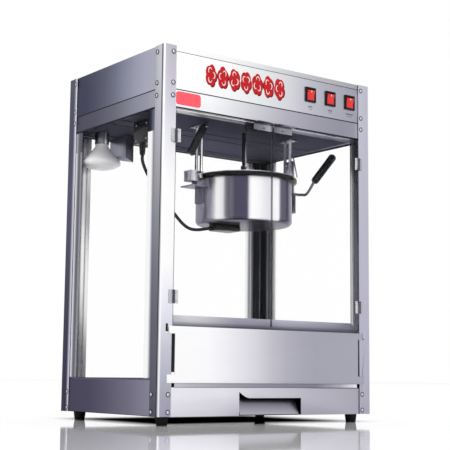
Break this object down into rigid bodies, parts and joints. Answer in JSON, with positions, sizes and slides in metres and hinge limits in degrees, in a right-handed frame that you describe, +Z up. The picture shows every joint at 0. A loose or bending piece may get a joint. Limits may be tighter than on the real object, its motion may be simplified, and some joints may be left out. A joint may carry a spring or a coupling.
{
  "type": "popcorn machine",
  "caption": "Counter-top popcorn machine: glazed steel cabinet with hinged glass doors, hanging kettle that tips by a handle, kernel drawer, lift-off front panel and rocker switches.",
  "frame": {"origin": "on the table, under the centre of the machine's bounding box", "axes": "+Z up, -Y towards the person at the glass doors, +X to that person's right"},
  "size_m": [0.56, 0.4196, 0.758],
  "materials": {
    "stainless_sheet": "brushed stainless sheet, satin",
    "motor_housing": "grey paint",
    "bracket_steel": "bright plated steel",
    "ceiling_sheet": "dark satin sheet",
    "clear_glass": "clear tempered glass",
    "polished_fittings": "polished stainless",
    "kettle_steel": "polished stainless, turned",
    "rim_band": "dark glossy enamel",
    "black_moulding": "glossy black",
    "foot_rubber": "matt black",
    "lead_jacket": "satin dark blue-black",
    "red_lens": "glossy translucent red",
    "lamp_glass": "frosted white reflector lamp",
    "lamp_socket": "off-white ceramic-like moulding"
  },
  "bodies": {
    "cabinet": {"post_front_left": "stainless_sheet", "post_front_right": "stainless_sheet", "post_rear_left": "stainless_sheet", "post_rear_right": "stainless_sheet", "top_cover": "stainless_sheet", "sign_panel": "stainless_sheet", "front_rail": "stainless_sheet", "side_rail_left": "stainless_sheet", "side_rail_right": "stainless_sheet", "ceiling_panel": "ceiling_sheet", "window_frame_left": "stainless_sheet", "window_frame_right": "stainless_sheet", "window_frame_rear": "stainless_sheet", "window_glass_left": "clear_glass", "window_glass_right": "clear_glass", "window_glass_rear": "clear_glass", "base_tray": "stainless_sheet", "front_apron": "stainless_sheet", "popcorn_deck": "stainless_sheet", "foot_front_left": "foot_rubber", "foot_front_right": "foot_rubber", "foot_rear_left": "foot_rubber", "foot_rear_right": "foot_rubber", "hinge_frame_lower_left": "polished_fittings", "hinge_frame_lower_right": "polished_fittings", "hinge_frame_upper_left": "polished_fittings", "hinge_frame_upper_right": "polished_fittings", "switch_bank": "black_moulding", "stir_motor": "motor_housing", "hanger_left": "bracket_steel", "hanger_right": "bracket_steel", "lamp_holder": "lamp_socket", "lamp_bulb": "lamp_glass", "warm_air_duct": "stainless_sheet", "connector_box": "black_moulding", "kettle_lead": "lead_jacket", "mains_gland": "black_moulding"},
    "door_left": {"door_glass_left": "clear_glass", "hinge_door_lower_left": "polished_fittings", "hinge_door_upper_left": "polished_fittings", "catch_plate_left": "polished_fittings"},
    "door_right": {"door_glass_right": "clear_glass", "hinge_door_lower_right": "polished_fittings", "hinge_door_upper_right": "polished_fittings", "catch_plate_right": "polished_fittings"},
    "kettle": {"kettle_body": "kettle_steel", "kettle_rim": "rim_band", "kettle_lid_bridge": "kettle_steel", "dump_handle": "bracket_steel", "dump_grip": "black_moulding", "terminal_housing": "black_moulding"},
    "kettle_lid": {"kettle_lid_flap": "kettle_steel"},
    "stirrer": {"stirrer": "kettle_steel"},
    "drive": {"drive_shaft": "kettle_steel"},
    "switch_1": {"rocker_1": "red_lens"},
    "switch_2": {"rocker_2": "red_lens"},
    "switch_3": {"rocker_3": "red_lens"},
    "drawer": {"kernel_drawer": "stainless_sheet"},
    "front_panel": {"drop_panel": "stainless_sheet"},
    "lever": {"release_lever": "black_moulding"}
  },
  "joints": [
    {"name": "door_left_hinge", "type": "hinge", "parent": "cabinet", "child": "door_left", "pos_m": [-0.2483, -0.1948, 0.414], "axis": [0, 0, -1], "range_deg": [0, 110]},
    {"name": "door_right_hinge", "type": "hinge", "parent": "cabinet", "child": "door_right", "pos_m": [0.2483, -0.1948, 0.414], "axis": [0, 0, 1], "range_deg": [0, 110]},
    {"name": "kettle_tilt", "type": "hinge", "parent": "cabinet", "child": "kettle", "pos_m": [0.022, -0.0645, 0.5205], "axis": [1, 0, 0], "range_deg": [0, 65], "deforming": ["kettle_lead"]},
    {"name": "kettle_lid_hinge", "type": "hinge", "parent": "kettle", "child": "kettle_lid", "pos_m": [0.022, -0.0766, 0.5344], "axis": [-1, 0, 0], "range_deg": [0, 65]},
    {"name": "drive_spin", "type": "hinge", "parent": "cabinet", "child": "drive", "pos_m": [0.022, -0.0645, 0.5623], "axis": [0, 0, 1], "continuous": true},
    {"name": "stirrer_spin", "type": "hinge", "parent": "kettle", "child": "stirrer", "pos_m": [0.022, -0.0645, 0.4305], "axis": [0, 0, 1], "continuous": true},
    {"name": "rocker_1_press", "type": "hinge", "parent": "cabinet", "child": "switch_1", "pos_m": [0.107, -0.1857, 0.712], "axis": [-1, 0, 0], "range_deg": [0, 16]},
    {"name": "rocker_2_press", "type": "hinge", "parent": "cabinet", "child": "switch_2", "pos_m": [0.165, -0.1857, 0.712], "axis": [-1, 0, 0], "range_deg": [0, 16]},
    {"name": "rocker_3_press", "type": "hinge", "parent": "cabinet", "child": "switch_3", "pos_m": [0.223, -0.1857, 0.712], "axis": [-1, 0, 0], "range_deg": [0, 16]},
    {"name": "drawer_slide", "type": "slide", "parent": "cabinet", "child": "drawer", "axis": [0, -1, 0], "range_m": [0, 0.2]},
    {"name": "front_panel_lift_off", "type": "slide", "parent": "cabinet", "child": "front_panel", "axis": [0, -1, 0], "range_m": [0, 0.15]},
    {"name": "release_lever_swing", "type": "hinge", "parent": "cabinet", "child": "lever", "pos_m": [-0.119, -0.11, 0.6285], "axis": [0, 1, 0], "range_deg": [0, 40]}
  ],
  "couplings": [
    {"joint": "stirrer_spin", "follows": "drive_spin", "ratio": 1}
  ]
}
